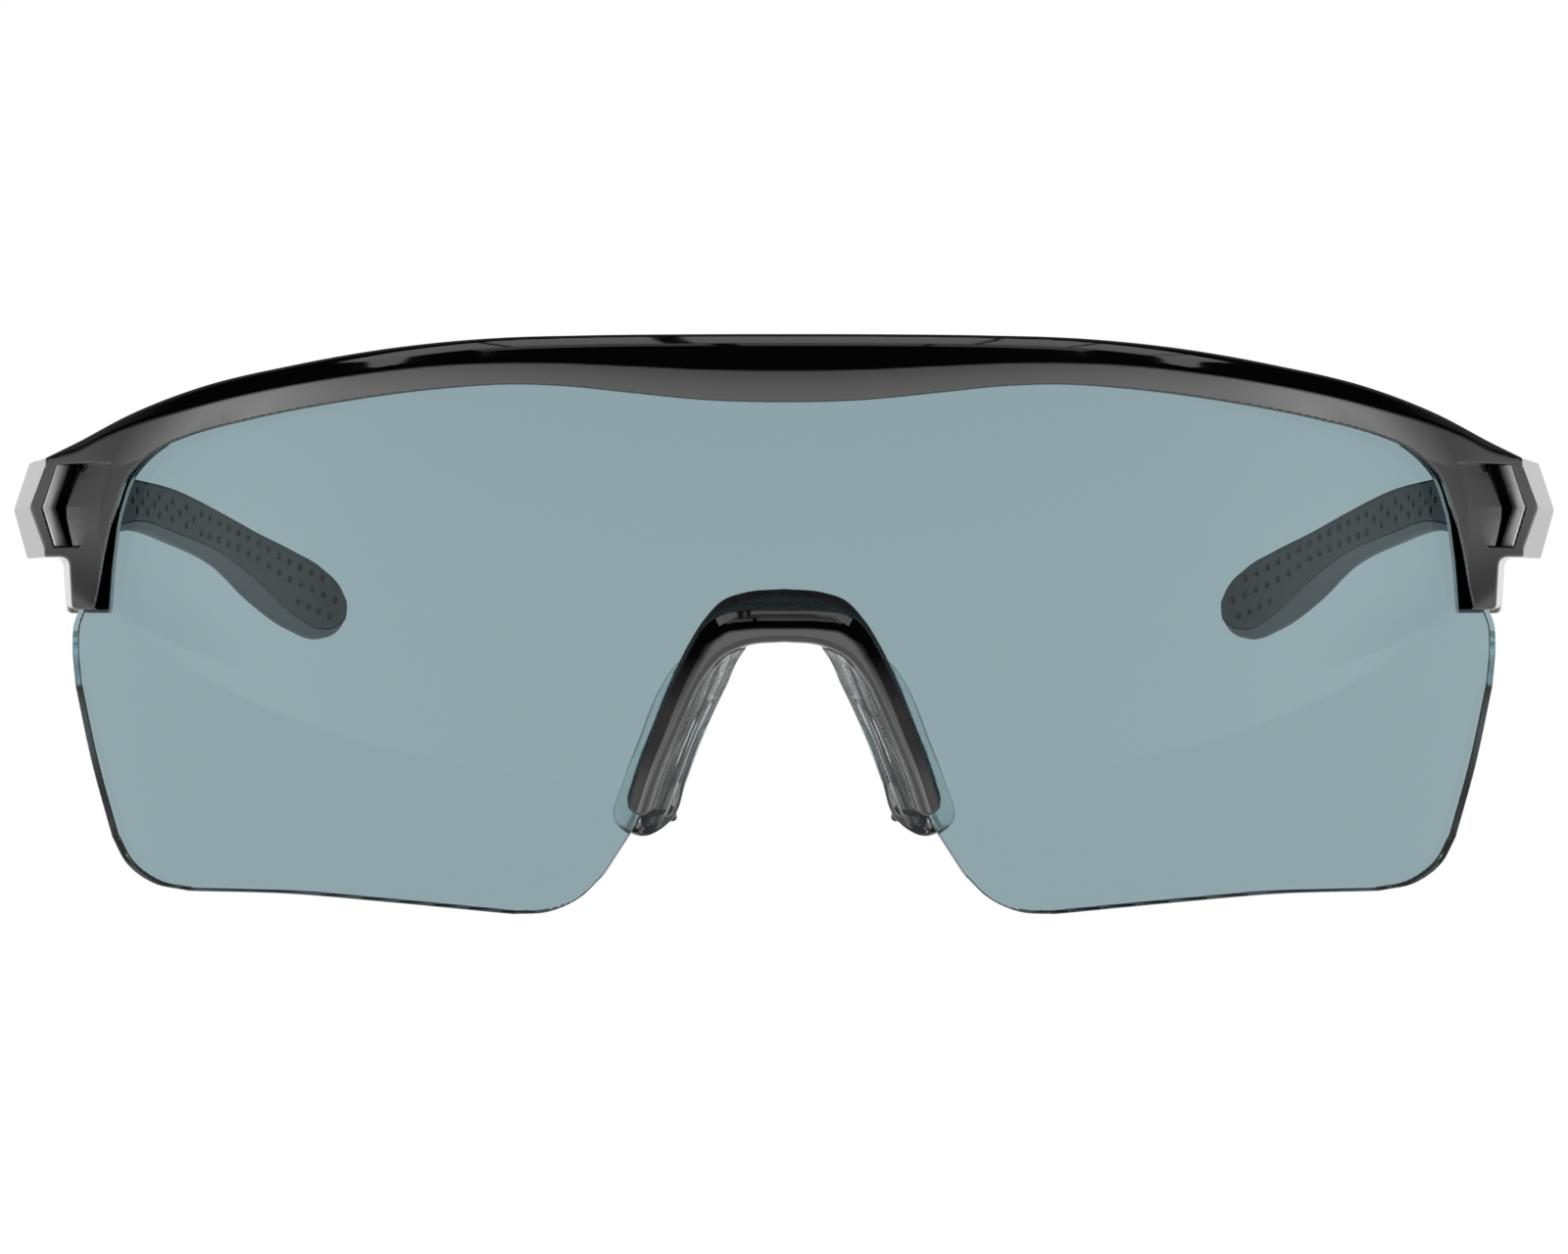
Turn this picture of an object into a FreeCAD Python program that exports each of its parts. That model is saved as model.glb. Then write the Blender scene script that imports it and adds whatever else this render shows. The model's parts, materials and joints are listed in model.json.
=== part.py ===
"""Wraparound sport sunglasses: one curved shield lens in a half-rim brow frame, folding temples with
soft grips, and a clip-on nose bridge with two clear pads.

The glasses are drawn as worn: X runs across the face with +X at the wearer's left, +Y runs back along
the temples and +Z is up, with the lens apex at the origin. Every sub-part then gets the same resting
placement, which lays the glasses on a flat surface on the lens's lower edge and the temple tips, with the
origin under the middle of their box.
"""
import FreeCAD, Part
import math
import os
import Sketcher
from BOPTools import SplitAPI
from FreeCAD import Placement, Rotation, Vector

SIDES = ((1, "left"), (-1, "right"))

# Driving dimensions, in millimetres and degrees.
DIMENSIONS = (
    ("lens_radius", 90.0, "lens outer surface, radius in plan"),
    ("lens_rise", 150.0, "lens outer surface, radius in side view"),
    ("lens_thick", 2.0, "lens thickness"),
    ("fit_gap", 0.05, "clearance between the lens and the walls of its grooves"),
    ("edge_room", 0.002, "room outside the lens's top edge, as a share of its size"),
    ("notch_room", 0.008, "room inside the lens's nose notch, as a share of its size"),
    ("lip_front", 1.6, "brow frame in front of the lens surface"),
    ("lip_rear", 2.0, "brow frame behind the lens"),
    ("bevel_deep", 2.7, "how far the brow's top bevel runs back"),
    ("ramp_deep", 0.9, "depth of the vent's ramp where it meets the slot"),
    ("ramp_foot", 1.2, "end of the ramp, inwards from the slot"),
    ("slot_lead", 0.9, "inner edge of the slot's floor, inwards from the slot"),
    ("slot_floor_wide", 0.4, "outer edge of the slot's floor, outwards from the slot"),
    ("slot_behind", 1.6, "slot's floor behind the lens surface"),
    ("bridge_front", 1.5, "nose bridge in front of the lens surface"),
    ("bridge_rear", 3.6, "nose bridge behind the lens"),
    ("side_slope", 0.237, "outward flare of the end pieces, sideways per length"),
    ("end_deep", 20.0, "length of an end piece along its flare"),
    ("hinge_x", 69.9, "hinge axis from the middle plane"),
    ("hinge_y", 46.07, "hinge axis behind the lens apex"),
    ("hinge_mid", 11.3, "height of the hinge's middle"),
    ("end_gap", 0.2, "gap between end piece and temple when open"),
    ("barrel_rad", 1.4, "hinge knuckle radius"),
    ("barrel_room", 0.3, "room round the knuckles in the plastic"),
    ("pin_rad", 0.7, "hinge screw shank radius"),
    ("pin_gap", 0.03, "running clearance of the shank in the turning knuckle"),
    ("knuckle_end", 1.5, "height of each outer knuckle"),
    ("knuckle_mid", 2.5, "height of the middle knuckle"),
    ("washer_thick", 0.22, "nylon washer thickness"),
    ("washer_room", 0.25, "gap between knuckles that holds a washer"),
    ("head_rad", 1.1, "hinge screw head radius"),
    ("head_tall", 0.6, "hinge screw head height"),
    ("slot_wide", 0.3, "screwdriver slot width"),
    ("slot_deep", 0.3, "screwdriver slot depth"),
    ("leaf_face", 1.1, "hinge axis to the plastic that a leaf is screwed to"),
    ("leaf_thick", 0.8, "hinge leaf thickness"),
    ("leaf_long", 9.2, "hinge leaf reach from the axis"),
    ("leaf_start", 1.8, "hinge axis to the full-height part of a leaf"),
    ("leaf_room", 0.1, "room round a leaf in its pocket"),
    ("pocket_in", 4.0, "how far a leaf's pocket opens inwards from the hinge axis"),
    ("neck_start", 0.1, "hinge axis to the start of a leaf's neck"),
    ("neck_lap", 0.2, "overlap of a leaf's neck with its plate"),
    ("temple_lean", 7.0, "inward lean of the temple at the hinge, degrees"),
    ("tack_rad", 0.45, "leaf screw shank radius"),
    ("tack_head_rad", 0.8, "leaf screw head radius"),
    ("tack_head_tall", 0.25, "leaf screw head height"),
    ("tack_bite", 1.1, "leaf screw depth in the plastic"),
    ("tack_first", 4.2, "hinge axis to the first leaf screw"),
    ("tack_pitch", 3.0, "distance between the two leaf screws"),
    ("grip_deep", 1.1, "thickness of the soft grip on the temple's inner face"),
    ("rest_tilt", 9.6, "how far the glasses lean back when they lie on a table, degrees"),
    ("rest_back", 81.05, "resting place, along Y"),
    ("rest_up", 28.0, "resting place, along Z"),
)

doc = FreeCAD.newDocument("sunglasses")
sheet = doc.addObject("Spreadsheet::Sheet", "dims")
for row, (alias, value, meaning) in enumerate(DIMENSIONS, start=1):
    sheet.set(f"A{row}", alias)
    sheet.set(f"B{row}", str(value))
    sheet.set(f"C{row}", meaning)
    sheet.setAlias(f"B{row}", alias)
doc.recompute()


def dim(alias):
    """A driving dimension as a plain number."""
    return float(sheet.get(alias))


RADIUS, RISE, THICK = dim("lens_radius"), dim("lens_rise"), dim("lens_thick")
GAP = dim("fit_gap")
HINGE = Vector(dim("hinge_x"), dim("hinge_y"), dim("hinge_mid"))
FLARE = math.degrees(math.atan(dim("side_slope")))
FAR = 100.0  # a size beyond the whole part, for boxes that cut it
STACK = 2 * dim("knuckle_end") + dim("knuckle_mid") + 2 * dim("washer_room")
LEANING = Rotation(Vector(1, 0, 0), -dim("rest_tilt"))
RESTING = Placement(Vector(0, -dim("rest_back"), dim("rest_up")), LEANING)
parts = []


# ---------------------------------------------------------------------------- the lens surface
def plan_radius(z, offset):
    """Distance from the lens's upright axis to its surface at height z, moved out by offset."""
    return RADIUS - RISE + math.sqrt((RISE + offset) ** 2 - z * z)


def on_surface(x, z, offset=0.0):
    """The point of the lens surface, moved out by offset, that is seen from the front at (x, z)."""
    return Vector(x, RADIUS - math.sqrt(plan_radius(z, offset) ** 2 - x * x), z)


def square_to(x, z, offset):
    """The point at offset from the lens surface, measured square to it from the surface point at (x, z)."""
    start = on_surface(x, z)
    spoke = Vector(start.x, start.y - RADIUS, 0).normalize()
    normal = start - Vector(0, RADIUS, 0) - spoke * (RADIUS - RISE)
    return start + normal.normalize() * offset


def shell(inner, outer, half_angle=62.0, reach=34.0):
    """The space between two offsets of the lens surface, either side of the middle plane."""
    def arc(offset):
        return [Vector(0, RADIUS - plan_radius(z, offset), z) for z in (reach, 0, -reach)]
    front, back = arc(outer), arc(inner)
    wire = Part.Wire([
        Part.Arc(*front).toShape(), Part.LineSegment(front[2], back[2]).toShape(),
        Part.Arc(*reversed(back)).toShape(), Part.LineSegment(back[0], front[0]).toShape(),
    ])
    face = Part.Face(wire)
    upright_line = (Vector(0, RADIUS, 0), Vector(0, 0, 1))
    face.rotate(*upright_line, -half_angle)
    return face.revolve(*upright_line, 2 * half_angle)


# ---------------------------------------------------------------------------- shaping tools
def both_halves(points):
    """Points from the middle out to +X, repeated for -X, ordered from -X to +X."""
    return [(-x, z) for x, z in reversed(points) if x > 0] + list(points)


def flipped(points, side):
    return [(side * x, z) for x, z in points]


def smooth(points):
    """A spline edge through 3-D points."""
    curve = Part.BSplineCurve()
    curve.interpolate(points)
    return curve.toShape()


def flat_smooth(points):
    """A spline edge through (x, z) points of the plane y = 0."""
    return smooth([Vector(x, 0, z) for x, z in points])


def flat_lines(points):
    """Straight edges through (x, z) points of the plane y = 0."""
    corners = [Vector(x, 0, z) for x, z in points]
    return [Part.LineSegment(a, b).toShape() for a, b in zip(corners, corners[1:])]


def prism(edges, front=-6.0, back=60.0):
    """A closed outline of the plane y = 0, carried along Y."""
    face = Part.Face(Part.Wire(Part.__sortEdges__(edges)))
    face.translate(Vector(0, front, 0))
    return face.extrude(Vector(0, back - front, 0))


def skin(sections, ruled=False):
    """A solid through closed polygons that all have the same number of corners."""
    return Part.makeLoft([Part.makePolygon(list(s) + [s[0]]) for s in sections], True, ruled)


def mirrored(shape):
    return shape.mirror(Vector(0, 0, 0), Vector(1, 0, 0))


def on_side(shape, side):
    return shape if side > 0 else mirrored(shape)


def upright(radius, bottom, top):
    """An upright cylinder on the left hinge axis."""
    return Part.makeCylinder(radius, top - bottom, Vector(HINGE.x, HINGE.y, bottom))


def add_feature(label, shape):
    """A sub-part whose shape is made above, laid in the resting position."""
    feature = doc.addObject("Part::Feature", label)
    feature.Label = label
    feature.Shape = shape.removeSplitter()
    feature.Placement = RESTING
    parts.append(feature)
    return feature


# ---------------------------------------------------------------------------- shield lens
LENS_TOP = ((0, 22.5), (7, 22.7), (14, 23.3), (24.5, 24.15), (31, 23.9), (40, 22.9), (49.5, 21.3),
            (56.5, 19.4), (61.5, 17.0), (64.6, 13.8), (66.0, 9.5), (66.3, 5.0), (66.5, 1.6))
LENS_SIDE = ((66.5, 1.6), (67.05, 0.3), (67.2, -1.6), (66.9, -5.5))
LENS_FLANK = ((66.9, -5.5), (65.2, -12.9), (63.2, -19.8))
LENS_CORNER = ((63.2, -19.8), (61.7, -22.3), (59.2, -23.95), (55.5, -24.62))
LENS_BASE = ((55.5, -24.62), (46, -24.6), (36, -25.2), (24.6, -26.1))
LENS_LOBE = ((24.6, -26.1), (21.4, -25.85), (18.6, -24.6), (16.4, -22.5))
LENS_NOTCH = ((16.4, -22.5), (13.4, -17.9))
NOTCH_ARCH = ((0, -0.35), (3.4, -0.6), (6.2, -2.0), (8.3, -5.0), (10.4, -9.9), (13.4, -17.9))
LENS_HALF = (LENS_SIDE, LENS_FLANK, LENS_CORNER, LENS_BASE, LENS_LOBE, LENS_NOTCH)


def lens_edge_band(scale):
    """The lens's cut edge as a band that crosses the lens square to its surface."""
    stretches = [both_halves(LENS_TOP), both_halves(NOTCH_ARCH)]
    stretches += [flipped(half, side) for side, _ in SIDES for half in LENS_HALF]
    faces = []
    for stretch in stretches:
        points = [(x * scale, z * scale) for x, z in stretch]
        front = smooth([square_to(x, z, 3) for x, z in points])
        back = smooth([square_to(x, z, -5) for x, z in points])
        faces.append(Part.makeRuledSurface(front, back))
    return Part.makeShell(faces)


def lens_slice(inner, outer, scale):
    """The part of the space between two offsets that lies within the lens's outline, scaled."""
    pieces = SplitAPI.slice(shell(inner, outer), [lens_edge_band(scale)], "Split").Solids
    center = on_surface(30, 5, (inner + outer) / 2)
    return next(piece for piece in pieces if piece.isInside(center, 1e-3, False))


add_feature("shield_lens", lens_slice(-THICK, 0, 1.0))


# ---------------------------------------------------------------------------- brow frame
BROW_TOP = ((0, 26.45), (9, 26.45), (18, 26.4), (27, 26.2), (36, 25.45), (45, 24.1), (54.5, 22.15),
            (61, 19.95), (66.5, 17.45), (69.6, 16.15))
BROW_RIDGE = ((0, 23.25), (7, 23.35), (14, 23.7), (22, 24.05), (31, 23.9), (40, 23.0), (49.5, 21.5),
              (56, 19.9), (62, 17.9), (66, 16.6))
BROW_BASE = ((0, 20.2), (7, 20.4), (14, 21.1), (19.5, 21.7), (25, 21.93), (31, 21.62), (40, 20.6),
             (49.5, 19.0), (55.5, 17.6), (58.6, 16.4))
LUG_INNER = ((58.6, 16.4), (60.6, 14.7), (62.3, 11.2), (63.4, 7.0), (64.1, 3.3), (64.5, 1.65))
END_FRONT = ((69.6, 16.15), (73, 16.15), (73, 6.6), (68.6, 6.6))
LUG_CORNER = ((68.6, 6.6), (67.75, 6.0), (67.45, 4.9))
LUG_FOOT = ((67.45, 4.9), (67.3, 1.65), (64.5, 1.65))
END_REAR = ((70.3, 6.6), (73.2, 6.6), (74.5, 11.3), (73.0, 15.85), (70.3, 15.85))
VENT = ((7.6, 63.6, 67.0, 69.0), (11.3, 63.9, 67.6, 70.2), (13.8, 63.5, 66.7, 69.4), (15.3, 63.0, 66.0, 68.7))


def brow_outline():
    """The whole front outline of the brow frame: brow, end pieces and lugs."""
    edges = [flat_smooth(both_halves(BROW_TOP)), flat_smooth(both_halves(BROW_BASE))]
    for side, _ in SIDES:
        edges += [flat_smooth(flipped(curve, side)) for curve in (LUG_INNER, LUG_CORNER)]
        edges += flat_lines(flipped(END_FRONT, side)) + flat_lines(flipped(LUG_FOOT, side))
    return edges


def brow_bevel():
    """What the brow loses above its ridge: the sloping upper face, along the whole brow."""
    slope = Vector(0, dim("bevel_deep"), BROW_TOP[0][1] - BROW_RIDGE[0][1])
    square = Vector(0, -slope.z, slope.y)
    sections = []
    for x, ridge in both_halves(BROW_RIDGE):
        foot = on_surface(x, ridge, dim("lip_front"))
        sections.append((foot - slope, foot + slope * 2, foot + slope * 0.5 + square * 3))
    return skin(sections)


def end_piece():
    """The left end piece: an oblique bar behind the brow's front face, with a ridge along its outer side."""
    corners = [Vector(x, HINGE.y - dim("end_gap"), z) for x, z in END_REAR]
    face = Part.Face(Part.makePolygon(corners + corners[:1]))
    return face.extrude(Vector(-dim("side_slope"), -1, 0) * dim("end_deep"))


def flare_trim():
    """The space outside the left end piece's ridged side, along its flare."""
    low, ridge, high = (Vector(x, HINGE.y - dim("end_gap"), z) for x, z in END_REAR[1:4])
    below = ridge + (low - ridge) * 3
    over = ridge + (high - ridge) * 2
    corners = [below, ridge, over, Vector(FAR, ridge.y, over.z), Vector(FAR, ridge.y, below.z)]
    face = Part.Face(Part.makePolygon(corners + corners[:1]))
    flare = Vector(-dim("side_slope"), -1, 0) * dim("end_deep")
    face.translate(flare * -0.5)
    return face.extrude(flare * 2)


def vent():
    """The left scoop: a ramp that sinks outwards to a deep slot against the chevron."""
    lip, floor = dim("lip_front"), -dim("slot_behind")
    clear = 2 * lip
    sections = []
    for z, start, slot, edge in VENT:
        sections.append((
            on_surface(start, z, clear), on_surface(start, z, lip),
            on_surface(slot - dim("ramp_foot"), z, lip - dim("ramp_deep")),
            on_surface(slot - dim("slot_lead"), z, floor),
            on_surface(slot + dim("slot_floor_wide"), z, floor),
            on_surface(edge, z, lip), on_surface(edge, z, clear),
        ))
    return skin(sections, ruled=True)


def hinge_room():
    """The space that the left hinge's knuckles and screw head turn in."""
    radius = dim("barrel_rad") + dim("barrel_room")
    bottom = HINGE.z - STACK / 2 - dim("barrel_room")
    top = HINGE.z + STACK / 2 + dim("head_tall") + dim("barrel_room")
    return upright(radius, bottom, top)


LEAF_TURNS = {
    "front": Rotation(Vector(0, 0, 1), -FLARE).multiply(Rotation(Vector(1, 0, 0), 180)),
    "temple": Rotation(Vector(0, 0, 1), dim("temple_lean")),
}


def leaf_place(kind, side):
    """Where a leaf is drawn: its origin on the hinge's middle and its length along its own +Y."""
    left = Placement(HINGE, LEAF_TURNS[kind])
    over = Placement(Vector(0, 0, 2 * HINGE.z), Rotation(Vector(0, 1, 0), 180))
    return left if side > 0 else over.multiply(left)


def leaf_pocket(kind):
    """The pocket and screw holes that a left leaf needs in the plastic it is screwed to."""
    room, face, inward = dim("leaf_room"), dim("leaf_face"), dim("pocket_in")
    tall = STACK + 2 * room
    pocket = Part.makeBox(face + inward, dim("leaf_long") + room, tall, Vector(-inward, 0, -tall / 2))
    for count in range(2):
        place = Vector(face, dim("tack_first") + count * dim("tack_pitch"), 0)
        pocket = pocket.fuse(Part.makeCylinder(dim("tack_rad"), dim("tack_bite"), place, Vector(1, 0, 0)))
    pocket.Placement = leaf_place(kind, 1)
    return pocket


def make_brow():
    lip, rear = dim("lip_front"), THICK + dim("lip_rear")
    brow = shell(-rear, lip).common(prism(brow_outline()))
    inside_front = shell(-RADIUS / 2, lip)
    for side, _ in SIDES:
        brow = brow.fuse(on_side(end_piece(), side).common(inside_front))
    brow = brow.cut(brow_bevel())
    hinge_cut = hinge_room().fuse(leaf_pocket("front"))
    for side, _ in SIDES:
        for cutter in (flare_trim(), vent(), hinge_cut):
            brow = brow.cut(on_side(cutter, side))
    behind = Part.makeBox(2 * FAR, FAR, 2 * FAR, Vector(-FAR, HINGE.y - dim("end_gap"), -FAR))
    return brow.cut(behind).cut(lens_slice(-THICK - GAP, GAP, 1 + dim("edge_room")))


add_feature("brow_frame", make_brow())


# ---------------------------------------------------------------------------- nose bridge
BRIDGE_TOP = ((0, 2.1), (3.5, 2.05), (5.6, 1.75), (7.4, 0.5), (8.9, -1.8), (10.6, -5.3), (12.0, -8.8),
              (13.4, -12.3), (14.4, -15.4))
BRIDGE_BASE = ((0, -1.4), (3.2, -1.7), (5.3, -2.6), (7.3, -4.9), (9.2, -9.0), (11.1, -13.5), (12.2, -16.8))
BRIDGE_REAR_TOP = ((0, 3.5), (3.5, 3.2), (5.6, 2.5), (7.4, 0.7), (8.9, -1.6), (10.6, -5.3), (12.0, -8.8),
                   (13.4, -12.3), (14.4, -15.4))
BRIDGE_FOOT = ((12.2, -16.8), (14.4, -15.4))


def bridge_outline(top):
    edges = [flat_smooth(both_halves(top)), flat_smooth(both_halves(BRIDGE_BASE))]
    for side, _ in SIDES:
        edges += flat_lines(flipped(BRIDGE_FOOT, side))
    return edges


def make_bridge():
    front = shell(-THICK, dim("bridge_front")).common(prism(bridge_outline(BRIDGE_TOP)))
    rear = shell(-THICK - dim("bridge_rear"), -THICK).common(prism(bridge_outline(BRIDGE_REAR_TOP)))
    return front.fuse(rear).cut(notch_room)


notch_room = lens_slice(-THICK - GAP, GAP, 1 - dim("notch_room"))
bridge = make_bridge()
add_feature("nose_bridge", bridge)

# Each row: height, nose side at the front, cheek side at the rear, and how far back the rear edge is.
PAD_ROWS = ((-2.0, 3.6, 9.0, 10.5), (-5.4, 5.6, 11.4, 12.6), (-10.0, 7.7, 13.4, 14.0),
            (-14.0, 9.1, 14.8, 14.2), (-17.4, 10.5, 15.3, 13.2), (-19.5, 12.4, 14.4, 11.0))
# The corners of a pad's plan: across from its nose side, from its cheek side, and from its nose side again.
PAD_NOSE_SIDE = ((0, 3.4), (0.5, 7.5))
PAD_REAR_EDGE = ((-1.8, 0), (-0.6, 0.3), (0, -0.7))
PAD_CHEEK_SIDE = ((3.6, 7.0), (3.3, 4.2))


def make_pad(side):
    """A silicone pad: it wraps the nose side of a bridge arm and flares back against the nose."""
    sections = []
    for z, nose, cheek, back in PAD_ROWS:
        plan = [(nose + x, y) for x, y in PAD_NOSE_SIDE]
        plan += [(cheek + x, back + y) for x, y in PAD_REAR_EDGE]
        plan += [(nose + x, y) for x, y in PAD_CHEEK_SIDE]
        sections.append([Vector(side * x, y, z) for x, y in plan])
    return skin(sections).cut(bridge).cut(notch_room)


for side, side_name in SIDES:
    add_feature(f"nose_pad_{side_name}", make_pad(side))


# ---------------------------------------------------------------------------- temples
# Each row: distance back, inner face, thickness at the ridge, bottom, top, and the bare strip under the grip.
TEMPLE_ROWS = (
    (46.07, 70.3, 4.2, 6.6, 15.85, 0.7), (56, 69.1, 4.1, 7.7, 15.75, 0.7), (68, 67.6, 3.9, 8.9, 15.5, 0.8),
    (80, 66.0, 3.7, 9.8, 15.1, 1.0), (100, 63.6, 3.5, 8.65, 14.35, 1.2), (120, 60.6, 3.5, 6.1, 12.3, 1.8),
    (134, 58.0, 3.8, 2.5, 10.4, 2.6), (148, 55.0, 3.9, -0.4, 8.5, 1.7), (158, 52.6, 3.6, -1.4, 6.7, 1.2),
    (164, 51.0, 2.8, -0.4, 4.6, 0.9), (166.5, 50.4, 1.6, 0.9, 2.9, 0.6),
)
GRIP_START = 58.0
RIDGE_AT = 0.51  # the ridge's place up a temple's height
SHOULDER_AT = 0.65  # the shoulders' place out along its thickness
UNDERCUT = 0.35  # how much further in the lower shoulder is behind UNDERCUT_FULL, along the thickness
UNDERCUT_FROM, UNDERCUT_FULL = 56.0, 120.0


def temple_section(y, inner, thick, bottom, top, _):
    undercut = UNDERCUT * min(max((y - UNDERCUT_FROM) / (UNDERCUT_FULL - UNDERCUT_FROM), 0), 1)
    shoulder = inner + thick * SHOULDER_AT
    ridge = bottom + (top - bottom) * RIDGE_AT
    return [Vector(inner, y, bottom), Vector(shoulder - thick * undercut, y, bottom),
            Vector(inner + thick, y, ridge), Vector(shoulder, y, top), Vector(inner, y, top)]


def grip_section(y, inner, thick, bottom, top, strip):
    near, far = inner - thick, inner + dim("grip_deep")
    low, high = bottom + strip, top + thick
    return [Vector(near, y, low), Vector(far, y, low), Vector(far, y, high), Vector(near, y, high)]


def make_temple():
    """The whole left temple and the part of it that is soft grip."""
    whole = skin([temple_section(*row) for row in TEMPLE_ROWS])
    inner_layer = skin([grip_section(*row) for row in TEMPLE_ROWS])
    behind = Part.makeBox(FAR, 2 * FAR, 2 * FAR, Vector(0, GRIP_START, -FAR))
    grip = whole.common(inner_layer).common(behind)
    arm = whole.cut(grip).cut(hinge_room().fuse(leaf_pocket("temple")))
    return arm, grip


arm, grip = make_temple()
for side, side_name in SIDES:
    add_feature(f"temple_arm_{side_name}", on_side(arm, side))
    add_feature(f"temple_grip_{side_name}", on_side(grip, side))


# ---------------------------------------------------------------------------- sketch tools
def cell(formula):
    """An expression on the sheet: every word of the formula that is an alias reads its cell."""
    aliases = {alias for alias, _, _ in DIMENSIONS}
    return " ".join(f"<<dims>>.{word}" if word in aliases else word for word in formula.split())


def new_body(label):
    body = doc.addObject("PartDesign::Body", label)
    body.Label = label
    return body


def new_sketch(body, name, plane, height=None):
    """A sketch on one of the body's origin planes, raised along the plane's normal by a formula."""
    sketch = body.newObject("Sketcher::SketchObject", name)
    role = next(f for f in body.Origin.OriginFeatures if f.Role == plane)
    sketch.AttachmentSupport = [(role, "")]
    sketch.MapMode = "FlatFace"
    if height:
        sketch.setExpression(".AttachmentOffset.Base.z", cell(height))
    return sketch


def draw_circle(sketch, radius, along=None):
    """A circle on the origin, or on the sketch's horizontal axis at a distance given by a formula."""
    first_place = Vector(4 if along else 0, 0, 0)
    index = sketch.addGeometry(Part.Circle(first_place, Vector(0, 0, 1), 1))
    bound = sketch.addConstraint(Sketcher.Constraint("Radius", index, 1))
    sketch.setExpression(f"Constraints[{bound}]", cell(radius))
    if along:
        sketch.addConstraint(Sketcher.Constraint("PointOnObject", index, 3, -1))
        place = sketch.addConstraint(Sketcher.Constraint("DistanceX", -1, 1, index, 3, 4))
        sketch.setExpression(f"Constraints[{place}]", cell(along))
    else:
        sketch.addConstraint(Sketcher.Constraint("Coincident", index, 3, -1, 1))


def draw_box(sketch, left, right, low, high):
    """A rectangle whose four sides lie at distances from the origin given by formulas."""
    a, b, c, d = Vector(1, 1, 0), Vector(2, 1, 0), Vector(2, 2, 0), Vector(1, 2, 0)
    first = sketch.addGeometry([Part.LineSegment(*pair) for pair in ((a, b), (b, c), (c, d), (d, a))])[0]
    for turn in range(4):
        sketch.addConstraint(Sketcher.Constraint("Coincident", first + turn, 2, first + (turn + 1) % 4, 1))
        sketch.addConstraint(Sketcher.Constraint("Vertical" if turn % 2 else "Horizontal", first + turn))
    corners = (("DistanceX", 1, left), ("DistanceY", 1, low), ("DistanceX", 3, right), ("DistanceY", 3, high))
    for kind, corner, formula in corners:
        line = first if corner == 1 else first + 1
        point = 1 if corner == 1 else 2
        bound = sketch.addConstraint(Sketcher.Constraint(kind, -1, 1, line, point, 1))
        sketch.setExpression(f"Constraints[{bound}]", cell(formula))


def pad(body, sketch, length):
    """Material from a sketch, along its plane's normal."""
    feature = body.newObject("PartDesign::Pad", f"{sketch.Name}_pad")
    feature.Profile = sketch
    feature.setExpression("Length", cell(length))
    doc.recompute()


def bore(body, sketch):
    """A hole right through the body, both ways from a sketch."""
    feature = body.newObject("PartDesign::Pocket", f"{sketch.Name}_bore")
    feature.Profile = sketch
    feature.Type = "ThroughAll"
    feature.Midplane = True
    doc.recompute()


def finish(body, place):
    body.Placement = RESTING.multiply(place)
    parts.append(body)


# ---------------------------------------------------------------------------- hinge leaves
HALF_STACK = "knuckle_mid / 2 + washer_room + knuckle_end"
KNUCKLES = {
    "front": ((f"0 - ( {HALF_STACK} )", "knuckle_end"), ("knuckle_mid / 2 + washer_room", "knuckle_end")),
    "temple": (("0 - knuckle_mid / 2", "knuckle_mid"),),
}
BORES = {"front": "pin_rad", "temple": "pin_rad + pin_gap"}


def make_leaf(kind, side, side_name):
    """A hinge leaf: a plate with two screw holes, and the knuckles that the hinge screw passes through."""
    name = f"hinge_{kind}_leaf_{side_name}"
    body = new_body(name)
    back = "leaf_face - leaf_thick"
    plate = new_sketch(body, f"{name}_plate", "XY_Plane", f"0 - ( {HALF_STACK} )")
    draw_box(plate, back, "leaf_face", "leaf_start", "leaf_long")
    pad(body, plate, f"2 * ( {HALF_STACK} )")
    for count, (height, tall) in enumerate(KNUCKLES[kind]):
        neck = new_sketch(body, f"{name}_neck{count}", "XY_Plane", height)
        draw_box(neck, back, "leaf_face", "neck_start", "leaf_start + neck_lap")
        pad(body, neck, tall)
        barrel = new_sketch(body, f"{name}_barrel{count}", "XY_Plane", height)
        draw_circle(barrel, "barrel_rad")
        pad(body, barrel, tall)
    pin = new_sketch(body, f"{name}_pin", "XY_Plane")
    draw_circle(pin, BORES[kind])
    bore(body, pin)
    tacks = new_sketch(body, f"{name}_tacks", "YZ_Plane")
    draw_circle(tacks, "tack_rad", "tack_first")
    draw_circle(tacks, "tack_rad", "tack_first + tack_pitch")
    bore(body, tacks)
    finish(body, leaf_place(kind, side))


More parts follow.
